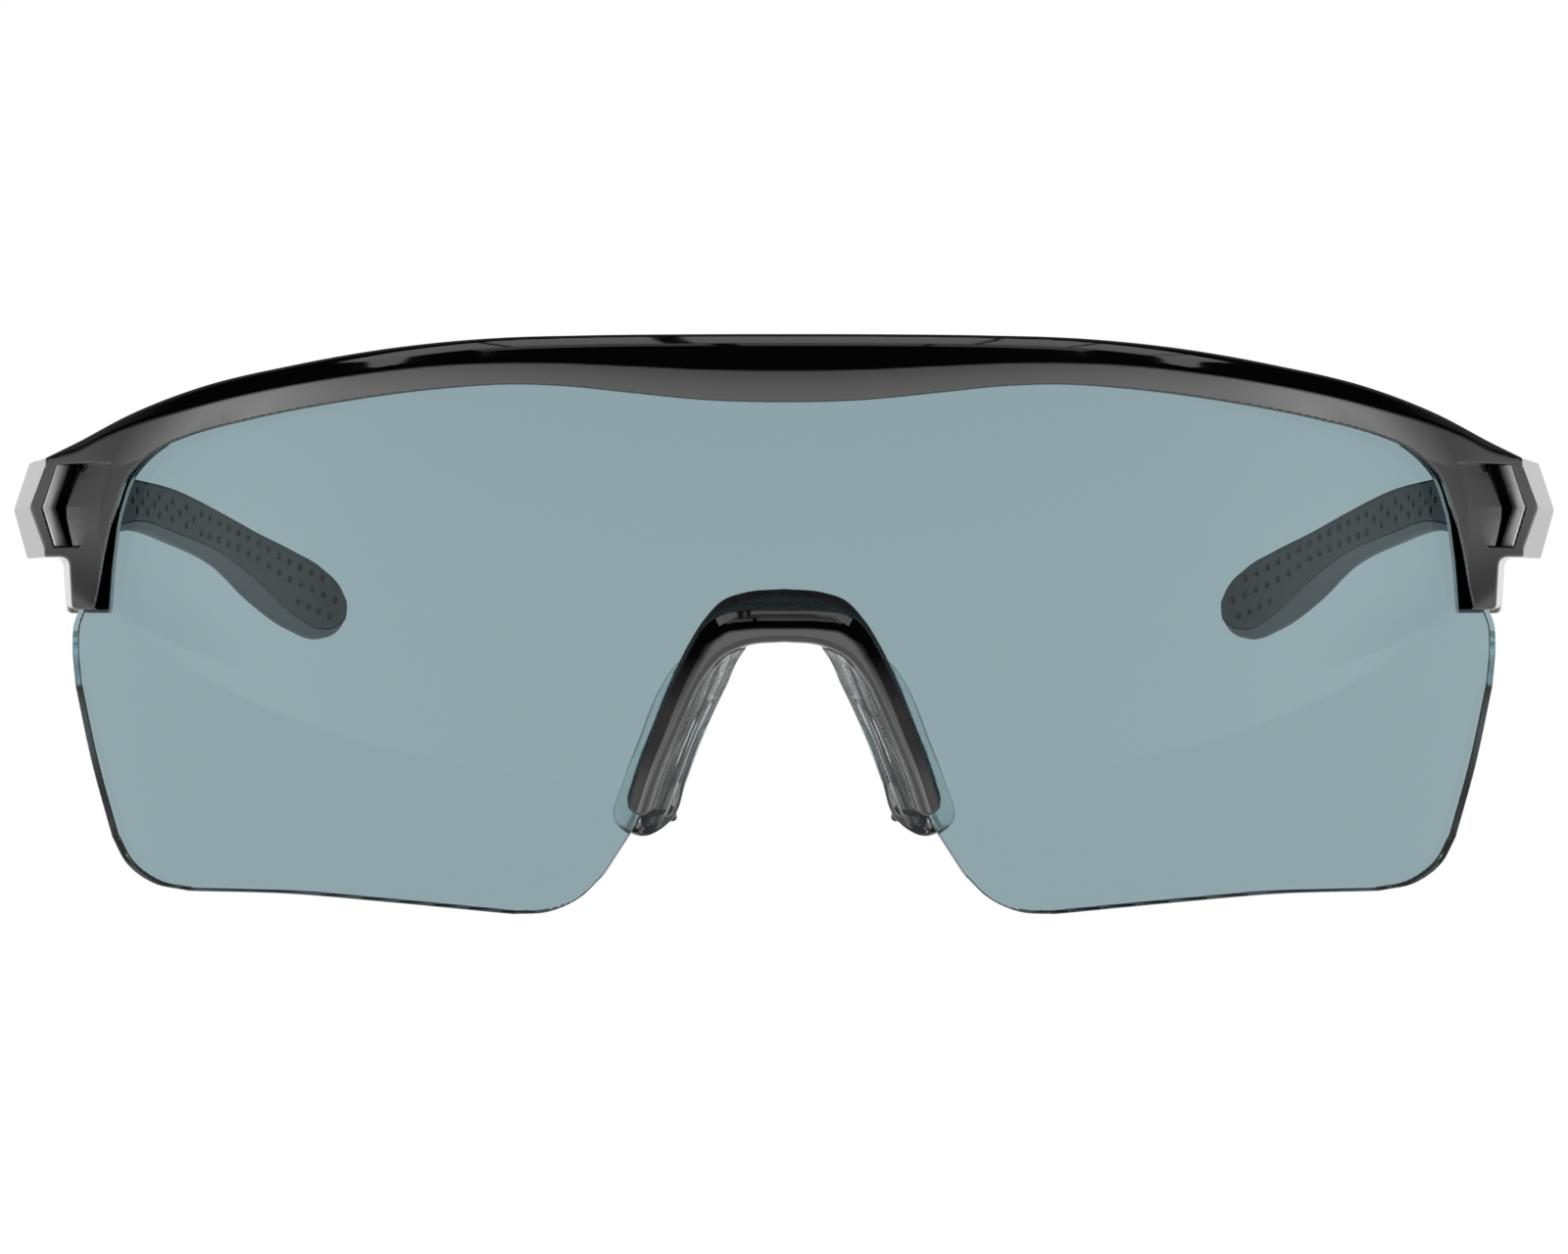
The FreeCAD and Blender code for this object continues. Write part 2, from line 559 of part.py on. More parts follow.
# ---------------------------------------------------------------------------- hinge screws
def make_hinge_screw(side, side_name):
    """The screw that the hinge turns on: a plain shank and a slotted head on top."""
    name = f"hinge_screw_{side_name}"
    body = new_body(name)
    shank = new_sketch(body, f"{name}_shank", "XY_Plane", f"0 - ( {HALF_STACK} )")
    draw_circle(shank, "pin_rad")
    pad(body, shank, f"2 * ( {HALF_STACK} )")
    head = new_sketch(body, f"{name}_head", "XY_Plane", HALF_STACK)
    draw_circle(head, "head_rad")
    pad(body, head, "head_tall")
    slot = new_sketch(body, f"{name}_slot", "XY_Plane", f"{HALF_STACK} + head_tall")
    draw_box(slot, "0 - slot_wide / 2", "slot_wide / 2", "0 - 2 * head_rad", "2 * head_rad")
    cut = body.newObject("PartDesign::Pocket", f"{name}_cut")
    cut.Profile = slot
    cut.setExpression("Length", cell("slot_deep"))
    doc.recompute()
    finish(body, Placement(Vector(side * HINGE.x, HINGE.y, HINGE.z), Rotation()))


# ---------------------------------------------------------------------------- small hardware
def cylinder(name, radius, tall, place, turn=Rotation()):
    """A cylinder whose sizes and place are formulas on the sheet."""
    solid = doc.addObject("Part::Cylinder", name)
    solid.setExpression("Radius", cell(radius))
    solid.setExpression("Height", cell(tall))
    solid.Placement = Placement(Vector(), turn)
    for axis, formula in zip("xyz", place):
        solid.setExpression(f".Placement.Base.{axis}", cell(formula))
    return solid


def combine(kind, name, **links):
    shape = doc.addObject(kind, name)
    for prop, value in links.items():
        setattr(shape, prop, value)
    return shape


def group(label, shapes, place):
    """Identical separate solids as one sub-part."""
    together = combine("Part::Compound", label, Links=shapes)
    together.Label = label
    doc.recompute()
    together.Placement = RESTING.multiply(place)
    parts.append(together)


def make_washers(side, side_name):
    rings = []
    heights = ("0 - knuckle_mid / 2 - washer_room", "knuckle_mid / 2 + washer_room - washer_thick")
    for count, height in enumerate(heights):
        name = f"washer_{side_name}{count}"
        disc = cylinder(f"{name}_disc", "barrel_rad", "washer_thick", ("0", "0", height))
        hole = cylinder(f"{name}_hole", "pin_rad", "washer_thick", ("0", "0", height))
        rings.append(combine("Part::Cut", name, Base=disc, Tool=hole))
    on_axis = Placement(Vector(side * HINGE.x, HINGE.y, HINGE.z), Rotation())
    group(f"hinge_washers_{side_name}", rings, on_axis)


def make_leaf_screws(kind, side, side_name):
    """The two screws that hold a leaf, drawn in the leaf's own frame."""
    outward = Rotation(Vector(0, 1, 0), 90)
    screws = []
    for count, along in enumerate(("tack_first", "tack_first + tack_pitch")):
        name = f"{kind}_tack_{side_name}{count}"
        on_leaf = ("leaf_face - leaf_thick", along, "0")
        over_leaf = ("leaf_face - leaf_thick - tack_head_tall", along, "0")
        head = cylinder(f"{name}_head", "tack_head_rad", "tack_head_tall", over_leaf, outward)
        shank = cylinder(f"{name}_shank", "tack_rad", "leaf_thick + tack_bite", on_leaf, outward)
        screws.append(combine("Part::Fuse", name, Base=head, Tool=shank))
    group(f"{kind}_leaf_screws_{side_name}", screws, leaf_place(kind, side))


for side, side_name in SIDES:
    make_hinge_screw(side, side_name)
    make_washers(side, side_name)
    for kind in ("front", "temple"):
        make_leaf(kind, side, side_name)
        make_leaf_screws(kind, side, side_name)


# ---------------------------------------------------------------------------- checks and export
doc.recompute()
for item in doc.Objects:
    if {"Invalid", "Error"} & set(item.State):
        raise SystemExit(f"{item.Label} failed: {item.State}")
for item in parts:
    if item.Shape.isNull() or not item.Shape.isValid():
        raise SystemExit(f"{item.Label} has no valid shape")

os.makedirs("parts", exist_ok=True)
for item in parts:
    item.Shape.exportStep(f"parts/{item.Label}.step")
    print(f"{item.Label}: {item.Shape.Volume:.1f} mm3, {len(item.Shape.Solids)} solid(s)")
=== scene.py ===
"""The looks of a pair of wraparound sport sunglasses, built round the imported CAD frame.

Shapes are written in the worn frame, in millimetres: X across the face, +Y back along the temples, +Z up,
with the lens apex at the origin. The glasses lie tilted on the floor, so to_row turns those points into the
row frame in metres.
"""

import json
import math

import bpy
import numpy as np
from mathutils import Matrix, Vector

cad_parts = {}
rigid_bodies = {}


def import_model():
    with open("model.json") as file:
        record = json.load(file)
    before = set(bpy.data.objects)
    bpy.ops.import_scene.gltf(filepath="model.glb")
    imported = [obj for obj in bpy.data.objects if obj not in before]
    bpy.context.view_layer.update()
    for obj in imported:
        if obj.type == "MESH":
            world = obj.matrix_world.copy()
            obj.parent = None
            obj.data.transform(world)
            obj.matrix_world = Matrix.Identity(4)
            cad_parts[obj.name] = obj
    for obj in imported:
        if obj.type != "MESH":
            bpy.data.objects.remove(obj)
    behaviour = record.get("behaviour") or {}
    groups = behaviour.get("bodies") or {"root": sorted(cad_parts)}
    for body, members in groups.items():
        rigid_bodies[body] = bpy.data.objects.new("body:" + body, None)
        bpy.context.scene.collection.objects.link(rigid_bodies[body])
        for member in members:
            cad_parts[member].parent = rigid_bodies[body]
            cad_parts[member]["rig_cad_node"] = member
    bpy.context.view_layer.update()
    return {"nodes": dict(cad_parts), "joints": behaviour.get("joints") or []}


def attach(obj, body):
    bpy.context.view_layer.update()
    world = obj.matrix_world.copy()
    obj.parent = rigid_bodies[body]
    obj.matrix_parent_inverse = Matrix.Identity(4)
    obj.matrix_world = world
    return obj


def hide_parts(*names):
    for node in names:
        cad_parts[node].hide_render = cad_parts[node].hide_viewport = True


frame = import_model()
CELL = 1.0
scene = bpy.context.scene
SIDES = ((1, "left"), (-1, "right"))

# ------------------------------------------------------------ the worn frame
RADIUS, RISE, THICK = 90.0, 150.0, 2.0  # the lens's outer surface in plan and in side view, and its thickness
HINGE = np.array((69.9, 46.07, 11.3))  # the left hinge's middle in the worn frame
SLOPE = 0.237  # the end pieces' outward flare, sideways per length

fold = next(joint for joint in frame["joints"] if joint["child"] == "temple_left")
TILT = math.atan2(fold["axis"][1], fold["axis"][2])
TURN = np.array(((1, 0, 0), (0, math.cos(TILT), math.sin(TILT)), (0, -math.sin(TILT), math.cos(TILT))))
SHIFT = np.array(fold["pos_m"]) - TURN @ HINGE / 1000


def to_row(points):
    """Worn millimetres to row metres."""
    return np.asarray(points, float) @ TURN.T / 1000 + SHIFT


# ------------------------------------------------------------ field tools
def lens_offset(p):
    """How far points lie outside the lens's outer surface, measured square to it."""
    plan = np.hypot(p[:, 0], p[:, 1] - RADIUS) - (RADIUS - RISE)
    return np.hypot(plan, p[:, 2]) - RISE


def smooth_max(a, b, blend):
    """The larger of two fields, with the edge between them rounded over about that width."""
    k = np.maximum(blend - np.abs(a - b), 0) / blend
    return np.maximum(a, b) + k * k * blend / 4


def smooth_min(a, b, blend):
    return -smooth_max(-a, -b, blend)


def all_of(fields, blend):
    """Inside all of the fields, with rounded edges."""
    out = fields[0]
    for field in fields[1:]:
        out = smooth_max(out, field, blend)
    return out


def curve(points, along=0):
    """A smooth function through a few points, of their first or second number."""
    pts = sorted((p[along], p[1 - along]) for p in points)
    x = np.array([p[0] for p in pts], float)
    y = np.array([p[1] for p in pts], float)
    step = np.diff(x)
    chord = np.diff(y) / step
    slope = np.empty_like(y)
    slope[1:-1] = (chord[:-1] * step[1:] + chord[1:] * step[:-1]) / (step[:-1] + step[1:])
    slope[0], slope[-1] = chord[0], chord[-1]

    def value(at):
        at = np.asarray(at, float)
        i = np.clip(np.searchsorted(x, at) - 1, 0, len(x) - 2)
        t = (at - x[i]) / step[i]
        inside = np.clip(t, 0, 1)
        a, b = y[i], y[i + 1]
        m, n = slope[i] * step[i], slope[i + 1] * step[i]
        t2, t3 = inside**2, inside**3
        cubic = a * (2 * t3 - 3 * t2 + 1) + m * (t3 - 2 * t2 + inside) + b * (3 * t2 - 2 * t3) + n * (t3 - t2)
        return cubic + np.where(t < 0, m * t, 0) + np.where(t > 1, n * (t - 1), 0)
    return value


def above(curve_of_x, x, z):
    """How far points lie above a curve z(x)."""
    steep = (curve_of_x(x + 0.2) - curve_of_x(x - 0.2)) / 0.4
    return (z - curve_of_x(x)) / np.sqrt(1 + steep**2)


def densify(points, count):
    """A smooth line through a few points, as that many points."""
    pts = np.asarray(points, float)
    length = np.concatenate(([0], np.cumsum(np.linalg.norm(np.diff(pts, axis=0), axis=1))))
    at = np.linspace(0, length[-1], count)
    return np.column_stack([curve(list(zip(length, pts[:, k])))(at) for k in range(pts.shape[1])])


def unroll(x, z):
    """Arc length round the lens for surface points seen from the front at x, z."""
    return RADIUS * np.arcsin(np.clip(x / (RADIUS - RISE + np.sqrt(RISE**2 - z**2)), -1, 1))


def rolled(p):
    """Points as (arc length, offset, height) of the nearest place on the lens's outer surface."""
    plan = np.hypot(p[:, 0], p[:, 1] - RADIUS) - (RADIUS - RISE)
    far = np.hypot(plan, p[:, 2])
    return RADIUS * np.arctan2(p[:, 0], RADIUS - p[:, 1]), far - RISE, p[:, 2] * RISE / far


def outline(*runs, step=0.15):
    """The signed distance from a mirrored outline on the unrolled lens, given as smooth runs of its +X half.
    It is a function of arc length and height, and negative inside."""
    line = np.concatenate([densify(run, 12 * len(run)) for run in runs])
    line[:, 0] = unroll(line[:, 0], line[:, 1])
    low, high = np.array((0.0, line[:, 1].min() - 2)), line.max(0) + 2
    us, vs = np.arange(low[0], high[0] + step, step), np.arange(low[1], high[1] + step, step)
    u, v = np.meshgrid(us, vs, indexing="ij")
    near = np.full(u.shape, 1e9)
    inside = np.zeros(u.shape, bool)
    for (au, av), (bu, bv) in zip(line, line[1:]):
        du, dv = bu - au, bv - av
        t = np.clip(((u - au) * du + (v - av) * dv) / max(du * du + dv * dv, 1e-12), 0, 1)
        near = np.minimum(near, (u - au - t * du)**2 + (v - av - t * dv)**2)
        if av != bv:
            inside ^= ((av > v) != (bv > v)) & (u < au + (v - av) / dv * du)
    value = np.where(inside, -np.sqrt(near), np.sqrt(near))

    def at(arcs, heights):
        fu = np.clip((np.abs(arcs) - low[0]) / step, 0, len(us) - 1.001)
        fv = np.clip((heights - low[1]) / step, 0, len(vs) - 1.001)
        i, j = fu.astype(int), fv.astype(int)
        p, q = fu - i, fv - j
        lower = value[i, j] * (1 - p) + value[i + 1, j] * p
        upper = value[i, j + 1] * (1 - p) + value[i + 1, j + 1] * p
        return lower * (1 - q) + upper * q
    return at


# ------------------------------------------------------------ fields to meshes
def gradient(field, p, step=0.03):
    out = np.empty_like(p)
    for k in range(3):
        shift = np.zeros(3)
        shift[k] = step
        out[:, k] = (field(p + shift) - field(p - shift)) / (2 * step)
    return out


def in_chunks(field, p, size=300_000):
    return np.concatenate([field(p[i:i + size]) for i in range(0, len(p), size)])


def bend(q):
    """Grid points (arc length, offset, height) to worn points round the lens's upright axis."""
    angle = q[:, 0] / RADIUS
    ring = RADIUS - RISE + np.sqrt((RISE + q[:, 1])**2 - q[:, 2]**2)
    return np.column_stack((ring * np.sin(angle), RADIUS - ring * np.cos(angle), q[:, 2]))


def steps(*stops):
    """Grid lines between stops, given as (start, spacing), (start, spacing), ..., end."""
    ends = [stop[0] for stop in stops[1:-1]] + [stops[-1]]
    lines = [np.arange(start, end - gap / 2, gap * CELL) for (start, gap), end in zip(stops[:-1], ends)]
    return np.concatenate((*lines, [stops[-1]]))


def polygonise(field, axes, place):
    """The surface where a field is zero, as points, quads and normals.

    place turns the grid's own points into worn ones. A bent grid starts at the middle plane and is mirrored
    there. The points are then moved onto the surface in a few steps along the field's slope."""
    grid = np.stack(np.meshgrid(*axes, indexing="ij"), -1).reshape(-1, 3)
    value = in_chunks(lambda q: field(place(q)), grid).reshape([len(axis) for axis in axes])
    if place is bend:
        value = np.concatenate((value[:0:-1], value))
        axes = [np.concatenate((-axes[0][:0:-1], axes[0])), *axes[1:]]
    counts = np.array(value.shape)
    cell = min(np.diff(axis).min() for axis in axes)
    inside = value < 0
    total, hits = np.zeros((*(counts - 1), 3)), np.zeros(counts - 1)
    quads = []
    for axis in range(3):
        first, second = [slice(None)] * 3, [slice(None)] * 3
        first[axis], second[axis] = slice(0, -1), slice(1, None)
        a, b = value[tuple(first)], value[tuple(second)]
        cross = inside[tuple(first)] != inside[tuple(second)]
        where = np.argwhere(cross)
        va, vb = a[cross], b[cross]
        point = where.astype(float)
        point[:, axis] += va / (va - vb)
        one, two = [k for k in range(3) if k != axis]
        corners = np.repeat(where[:, None], 4, axis=1)
        corners[:, 1:3, one] -= 1
        corners[:, 2:4, two] -= 1
        key = tuple(corners.reshape(-1, 3).T)
        np.add.at(total, key, np.repeat(point, 4, axis=0))
        np.add.at(hits, key, 1)
        backward = (va < 0) != (axis == 1) if place is bend else (va < 0) == (axis == 1)
        corners[backward] = corners[backward][:, ::-1]
        quads.append(corners)
    number = np.cumsum(hits > 0).reshape(hits.shape) - 1
    spot = total[hits > 0] / hits[hits > 0][:, None]
    points = place(np.column_stack([np.interp(spot[:, k], np.arange(counts[k]), axes[k]) for k in range(3)]))
    faces = number[tuple(np.concatenate(quads).reshape(-1, 3).T)].reshape(-1, 4)
    for _ in range(4):
        slope = gradient(field, points)
        step = slope * (field(points) / np.maximum((slope**2).sum(1), 1e-4))[:, None]
        length = np.linalg.norm(step, axis=1, keepdims=True)
        points = points - step * np.minimum(1, cell * 0.6 / np.maximum(length, 1e-9))
    normals = gradient(field, points)
    return points, faces, normals / np.maximum(np.linalg.norm(normals, axis=1, keepdims=True), 1e-9)


def as_is(q):
    return q


def add_mesh(name, points, faces, normals, side=1):
    """A smooth-shaded mesh of quads in the row frame, mirrored for the right side."""
    flip = np.array((side, 1, 1))
    if side < 0:
        faces = faces[:, ::-1]
    mesh = bpy.data.meshes.new(name)
    mesh.vertices.add(len(points))
    mesh.vertices.foreach_set("co", to_row(points * flip).ravel())
    mesh.loops.add(faces.size)
    mesh.loops.foreach_set("vertex_index", faces.ravel().astype(np.int32))
    mesh.polygons.add(len(faces))
    mesh.polygons.foreach_set("loop_start", np.arange(0, faces.size, 4, dtype=np.int32))
    mesh.update(calc_edges=True)
    mesh.validate()
    if normals is not None:
        mesh.shade_smooth()
        mesh.normals_split_custom_set_from_vertices(((normals * flip) @ TURN.T).tolist())
    obj = bpy.data.objects.new(name, mesh)
    scene.collection.objects.link(obj)
    return obj


def finish_piece(obj, body, node, material):
    obj.data.materials.append(material)
    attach(obj, body)
    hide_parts(node)


def on_both_sides(shape, stem, body, node, material):
    for side, side_name in SIDES:
        obj = add_mesh(f"{stem}_{side_name}", *shape, side)
        finish_piece(obj, body.format(side_name), f"{node}_{side_name}", material)


# ------------------------------------------------------------ hinge pockets
def hinge_room(x, y, z, lean, way):
    """The space for the left hinge's knuckles and for a leaf that leans inwards and runs forward or back."""
    dx, dy, dz = x - HINGE[0], y - HINGE[1], z - HINGE[2]
    barrel = np.maximum(np.hypot(dx, dy) - 1.7, np.abs(dz - 0.3) - 3.6)
    over = dx * math.cos(lean) + dy * math.sin(lean)
    along = (dy * math.cos(lean) - dx * math.sin(lean)) * way
    leaf = np.maximum.reduce([over - 1.1, -over - 4.0, np.abs(along - 4.65) - 4.65, np.abs(dz) - 3.1])
    return np.minimum(barrel, leaf)


# ------------------------------------------------------------ brow frame
BROW_TOP = ((-9, 26.45), (0, 26.45), (9, 26.45), (18, 26.4), (27, 26.2), (36, 25.45), (45, 24.1),
            (54.5, 22.15), (61, 19.95), (66.5, 17.45), (69.6, 16.15))
BROW_RIDGE = ((-7, 23.35), (0, 23.25), (7, 23.35), (14, 23.7), (22, 24.05), (31, 23.9), (40, 23.0),
              (49.5, 21.5), (56, 20.1), (60, 19.1), (64, 17.75), (66.5, 16.65), (69.6, 16.05))
BROW_BASE = ((-7, 20.4), (0, 20.2), (7, 20.4), (14, 21.1), (19.5, 21.7), (25, 21.93), (31, 21.62), (40, 20.6),
             (49.5, 19.0), (55.5, 17.6), (58.6, 16.4), (61, 14.9))
LUG_INNER = ((57.2, 17.2), (58.6, 16.4), (60.6, 14.7), (62.3, 11.2), (63.4, 7.0), (64.1, 3.3), (64.5, 1.65))
VENT_SLOT = ((65.9, 15.4), (66.7, 13.8), (67.7, 11.3), (67.6, 10.1), (66.9, 7.5))
VENT_EDGE = ((68.7, 15.4), (70.15, 11.3), (68.8, 7.5))
LIP, REAR = 1.6, 4.0  # the frame's front and rear faces, from the lens's outer surface
BEVEL, CREST = (0.903, 0.429), (0.779, 0.627)  # how the upper faces slope, out from the lens and up
CREST_TALL, CREST_END = 0.95, 58  # the crest's height in the middle, and how far out it dies away
LUG_CLAMP = ((56.7, 17.2), (57.9, 16.4), (59.8, 14.7), (61.45, 11.2), (62.2, 7.0), (62.7, 1.25))
brow_top, brow_ridge, brow_base = curve(BROW_TOP), curve(BROW_RIDGE), curve(BROW_BASE)
lug_inner, lug_clamp = curve(LUG_INNER, along=1), curve(LUG_CLAMP, along=1)


def brow_field(p):
    x, y, z = np.abs(p[:, 0]), p[:, 1], p[:, 2]
    off = lens_offset(p)
    flared = x + SLOPE * (HINGE[1] - y)
    drop = np.clip(brow_ridge(x) - z, 0, 3.5)
    on_brow = np.clip((64 - x) / 12, 0, 1)
    front = off - LIP + on_brow * (0.11 * drop + 0.013 * drop**2)
    # the sloping bevel above the ridge, and a narrow flatter crest over it
    top = above(brow_top, x, z)
    crest_deep = CREST_TALL * np.clip(1 - (x / CREST_END)**2, 0, 1)
    crest_off = LIP - (brow_top(x) - crest_deep - brow_ridge(x)) * BEVEL[1] / BEVEL[0]
    bevel = (off - LIP) * BEVEL[0] + (z - brow_ridge(x)) * BEVEL[1]
    crest = (off - crest_off) * CREST[0] + (z - brow_top(x) + crest_deep) * CREST[1]
    over = smooth_max(smooth_max(bevel, crest, 0.12), top, 0.3)
    # the lug's rear clamp reaches a little further in and down than its front
    behind = off + THICK < 0
    inner = smooth_min(-above(brow_base, x, z), lug_inner(z) - x, 0.5)
    inner_rear = smooth_min(-above(brow_base, x, z), lug_clamp(z) - x, 0.5)
    inner = np.where((z <= 17) & behind, inner_rear, inner)
    lug_side = x + 0.16 * (HINGE[1] - y) - 70.02 + 0.05 * (4.9 - z)
    lug = smooth_max(lug_side, np.where(behind, 1.3, 1.65) - z, 0.5)
    outside = smooth_min(smooth_max(6.6 - z, x - 69.9, 0.3), lug, 0.9)
    plate = all_of([front, -off - REAR, inner], 0.15)
    plate = smooth_max(smooth_max(plate, outside, 0.15), over, 0.15)
    facet_up = (flared - 74.5) * 0.950 + (z - 11.3) * 0.313
    facet_low = (flared - 74.5) * 0.964 - (z - 11.3) * 0.267
    side = smooth_max(facet_up, facet_low, 0.15)
    crown = z - 16.15 + 0.019 * (y - 30)
    block = all_of([side, off - LIP, 6.6 - z, crown, 70.3 - flared, y - HINGE[1] + 0.2, 26 - y], 0.18)
    whole = np.minimum(plate, block)
    groove = np.maximum(np.abs(off + THICK / 2) - THICK / 2 - 0.05, groove_edge(x, z))
    whole = smooth_max(whole, -groove, 0.15)
    whole = smooth_max(whole, -vent_field(x, z, off), 0.08)
    return smooth_max(whole, -hinge_room(x, y, z, -math.atan(SLOPE), -1), 0.15)


LENS_TOP = ((-7, 22.7), (0, 22.5), (7, 22.7), (14, 23.3), (24.5, 24.15), (31, 23.9), (40, 22.9), (49.5, 21.3),
            (56.5, 19.4), (61.5, 17.0), (64.6, 13.8))
LENS_SHOULDER = ((61.5, 17.0), (64.6, 13.8), (66.0, 9.5), (66.3, 5.0), (66.5, 1.6), (66.8, -1))
lens_top, lens_shoulder = curve(LENS_TOP), curve(LENS_SHOULDER, along=1)


def groove_edge(x, z):
    """Negative where the lens is, below its top edge and inside its shoulder."""
    return np.maximum(above(lens_top, x, z), x - lens_shoulder(z)) - 0.05


def vent_field(x, z, off):
    """The scoop in the end piece: a ramp that sinks outwards into a deep slot, against a chevron wall."""
    slot_at = np.interp(z, [pt[1] for pt in VENT_SLOT[::-1]], [pt[0] for pt in VENT_SLOT[::-1]])
    edge_at = np.interp(z, [pt[1] for pt in VENT_EDGE[::-1]], [pt[0] for pt in VENT_EDGE[::-1]])
    start = 65.9 - 0.39 * (z - 7.6)
    along = np.clip((x - start) / (slot_at - start), 0, 1.2)
    ramp = LIP - (0.5 + 0.085 * (z - 7.6)) * along - off
    slot = np.maximum(slot_at - x, -2.6 - off)
    wall = (x - edge_at) + (LIP - off) * 0.42
    return np.maximum.reduce([z - 15.35, 7.6 - z, wall * 0.9, np.minimum(np.maximum(ramp, start - x), slot)])


def vent_liner():
    """The satin blade along the vent's outer wall, as points and quads: a bent strip with a thickness."""
    points = []
    for z, edge in ((15.3, 68.75), (11.3, 70.2), (7.65, 68.85)):
        for deep in (0.12, 1.8):
            for thick in (0.0, 0.18):
                inward = edge - thick - 0.56 * deep
                ring = RADIUS - RISE + math.sqrt((RISE + LIP - deep)**2 - z**2)
                points.append((inward, RADIUS - math.sqrt(ring**2 - inward**2), z))
    faces = []
    for row in (0, 4):
        a, b, c, d = row, row + 1, row + 2, row + 3
        for one, two in ((a, b), (b, d), (d, c), (c, a)):
            faces.append((one, two, two + 4, one + 4))
    faces += [(0, 2, 3, 1), (8, 9, 11, 10)]
    return np.array(points), np.array(faces)


# ------------------------------------------------------------ lens
LENS_SIDE = ((66.5, 1.6), (67.05, 0.3), (67.2, -1.6), (66.9, -5.5))
LENS_FLANK = ((66.9, -5.5), (65.2, -12.9), (63.2, -19.8))
LENS_CORNER = ((63.2, -19.8), (61.7, -22.3), (59.2, -23.95), (55.5, -24.62))
LENS_BASE = ((55.5, -24.62), (46, -24.6), (36, -25.2), (24.6, -26.1))
LENS_LOBE = ((24.6, -26.1), (21.4, -25.85), (18.6, -24.6), (16.4, -22.5))
LENS_NOTCH = ((16.4, -22.5), (13.4, -17.9))
NOTCH_ARCH = ((13.4, -17.9), (10.4, -9.9), (8.3, -5.0), (6.2, -2.0), (3.4, -0.6), (0, -0.35))
LENS_CROWN = ((0, 22.5), (7, 22.7), (14, 23.3), (24.5, 24.15), (31, 23.9), (40, 22.9), (49.5, 21.3),
              (56.5, 19.4), (61.5, 17.0), (64.6, 13.8), (66.0, 9.5), (66.3, 5.0), (66.5, 1.6))
lens_outline = outline(
    LENS_CROWN, LENS_SIDE, LENS_FLANK, LENS_CORNER, LENS_BASE, LENS_LOBE, LENS_NOTCH, NOTCH_ARCH)


def lens_field(p):
    """The lens, cut square to its surface, with its edge eased front and back."""
    arc, off, height = rolled(p)
    return smooth_max(np.abs(off + THICK / 2) - THICK / 2, lens_outline(arc, height), 0.25)


# ------------------------------------------------------------ nose bridge
BRIDGE_TOP = ((0, 2.1), (3.5, 2.05), (5.6, 1.75), (7.4, 0.5), (8.9, -1.8), (10.6, -5.3), (12.0, -8.8),
              (13.4, -12.3), (14.4, -15.4))
BRIDGE_END = ((14.4, -15.4), (14.35, -16.0), (13.9, -16.4), (12.7, -16.85), (12.2, -16.8))
BRIDGE_BASE = ((12.2, -16.8), (11.1, -13.5), (9.2, -9.0), (7.3, -4.9), (5.3, -2.6), (3.2, -1.7), (0, -1.4))
BRIDGE_REAR = ((0, 3.5), (3.5, 3.2), (5.6, 2.5), (7.4, 0.7), (8.9, -1.6), (10.6, -5.3), (12.0, -8.8),
               (13.4, -12.3), (14.4, -15.4))
bridge_outside = outline(BRIDGE_TOP, ((14.4, -15.4), (15.8, -19.6)), ((15.8, -19.6), (0, -19.6)), step=0.1)
bridge_inside = outline(
    ((0, 7), (20, 7)), ((20, 7), (20, -20)), ((20, -20), (13.2, -20)), ((13.2, -20), (12.2, -16.8)),
    BRIDGE_BASE, step=0.1)
bridge_front = outline(BRIDGE_TOP, BRIDGE_END, BRIDGE_BASE, step=0.1)
bridge_rear = outline(BRIDGE_REAR, BRIDGE_END, BRIDGE_BASE, step=0.1)


def bridge_field(p):
    """A domed band in front of the lens and a taller block behind it, joined through the notch."""
    arc, off, height = rolled(p)
    over, under = bridge_outside(arc, height), bridge_inside(arc, height)
    steep = 0.866 * (off - 1.5) + 0.5 * (over + 2.07)
    crest = 0.755 * (off - 1.33) + 0.656 * (over + 1.77)
    facet_over = smooth_max(smooth_max(steep, crest, 0.1), over, 0.9)
    facet_under = smooth_max(0.9936 * (off - 1.5) + 0.113 * (under + 1.43), under, 0.7)
    band = smooth_max(smooth_max(facet_over, facet_under, 0.3), bridge_front(arc, height), 0.25)
    band = smooth_max(band, -off - 3.0, 0.2)
    block = all_of([bridge_rear(arc, height), off + THICK + 0.05, -off - 5.6], 0.9)
    lens_room = np.maximum(np.abs(off + THICK / 2) - THICK / 2, lens_outline(arc, height)) - 0.05
    return smooth_max(smooth_min(band, block, 0.2), -lens_room, 0.1)


# ------------------------------------------------------------ nose pads
PAD_ROWS = ((-1.6, 3.1, 8.6, 10.3), (-2, 3.5, 8.9, 10.5), (-5.4, 5.3, 11.1, 12.6), (-10, 7.4, 13.0, 14.0),
            (-14, 8.9, 14.5, 14.2), (-17.4, 10.2, 15.3, 13.2), (-19.5, 12.4, 14.4, 11.0))
pad_nose, pad_cheek, pad_back = (curve([(row[0], row[k]) for row in PAD_ROWS]) for k in (1, 2, 3))


